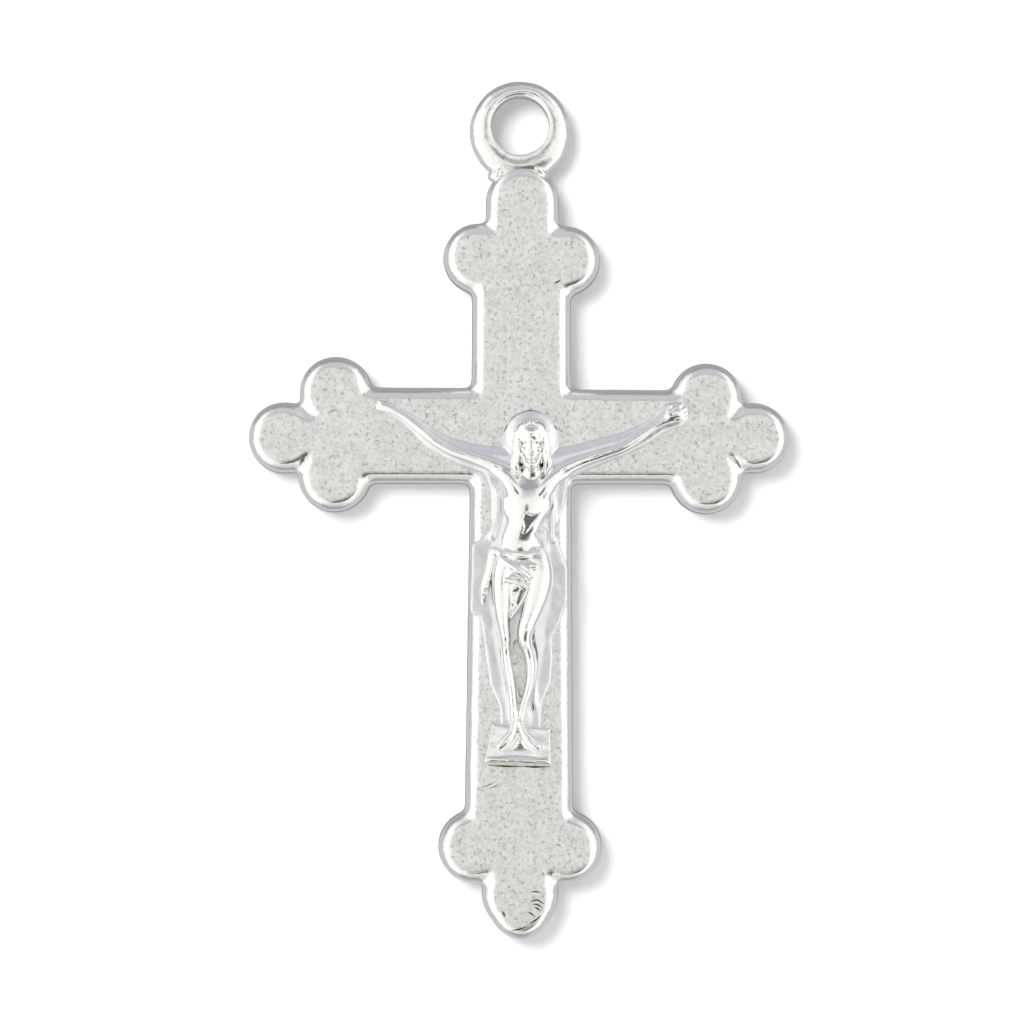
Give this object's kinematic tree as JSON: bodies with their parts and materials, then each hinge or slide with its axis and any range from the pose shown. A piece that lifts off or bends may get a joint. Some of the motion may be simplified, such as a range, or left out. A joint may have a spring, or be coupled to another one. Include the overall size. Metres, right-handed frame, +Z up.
{
  "type": "crucifix pendant",
  "caption": "Small silver-coloured cast crucifix pendant with budded ends, a raised corpus on a backing plate and foot rest, and a soldered hanger ring at the top.",
  "frame": {"origin": "centre of the hanger ring's bore, at the middle of the plate's thickness", "axes": "+Z up along the shaft, from the foot of the cross to the ring; the front with the corpus faces -Y; the bore runs along Y; the arms run along X, and left and right are the viewer's"},
  "size_m": [0.027, 0.0039, 0.0429],
  "materials": {
    "satin_silver": "satin cast face with polished rims",
    "bright_silver": "polished",
    "solder_silver": "bright solder",
    "figure_silver": "polished relief with grey hollows"
  },
  "bodies": {
    "root": {"cross_plate": "satin_silver", "hanger_ring": "bright_silver", "ring_solder": "solder_silver", "corpus_backing": "figure_silver", "foot_rest": "figure_silver", "head": "figure_silver", "hair_and_beard": "figure_silver", "torso": "figure_silver", "loincloth": "figure_silver", "cloth_tail": "figure_silver", "left_arm": "figure_silver", "right_arm": "figure_silver", "left_leg": "figure_silver", "right_leg": "figure_silver", "left_foot": "figure_silver", "right_foot": "figure_silver"}
  },
  "joints": []
}
